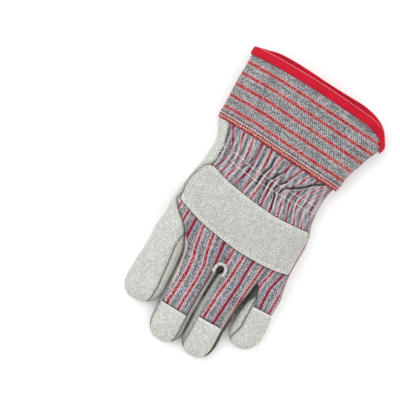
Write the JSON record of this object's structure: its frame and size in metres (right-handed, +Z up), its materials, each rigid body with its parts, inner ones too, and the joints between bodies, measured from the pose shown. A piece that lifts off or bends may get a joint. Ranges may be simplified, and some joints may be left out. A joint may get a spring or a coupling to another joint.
{
  "type": "work glove",
  "caption": "Left-hand work glove lying palm down: split leather palm and fingertips, striped cloth back, knuckle strap, gathered wrist, folded wing thumb and flared bound cuff.",
  "frame": {"origin": "middle of the footprint, on the surface that the glove lies on", "axes": "+X to the index finger's side, +Y to the fingertips, +Z up, out of the back of the hand"},
  "size_m": [0.1474, 0.2768, 0.0448],
  "materials": {
    "leather": "matt off-white split suede leather, lightly speckled, raw edges paler",
    "striped_cloth": "blue-grey cotton twill with crimson stripes edged in pink, matt",
    "cuff_cloth": "stiffened blue-grey cotton with orange-red stripes running round the cuff, matt",
    "binding": "smooth bright red woven binding tape, low sheen"
  },
  "bodies": {
    "root": {"palm": "leather", "middle_ring_palm": "leather", "tip_little": "leather", "tip_ring": "leather", "tip_middle": "leather", "fourchette_little_ring": "leather", "fourchette_ring_middle": "leather", "fourchette_middle_index": "leather", "back_cloth": "striped_cloth", "thumb_front": "leather", "thumb_back": "leather", "knuckle_strap": "leather", "crotch_welt": "leather", "palm_welt": "leather", "cuff": "cuff_cloth", "cuff_binding": "binding"}
  },
  "joints": []
}
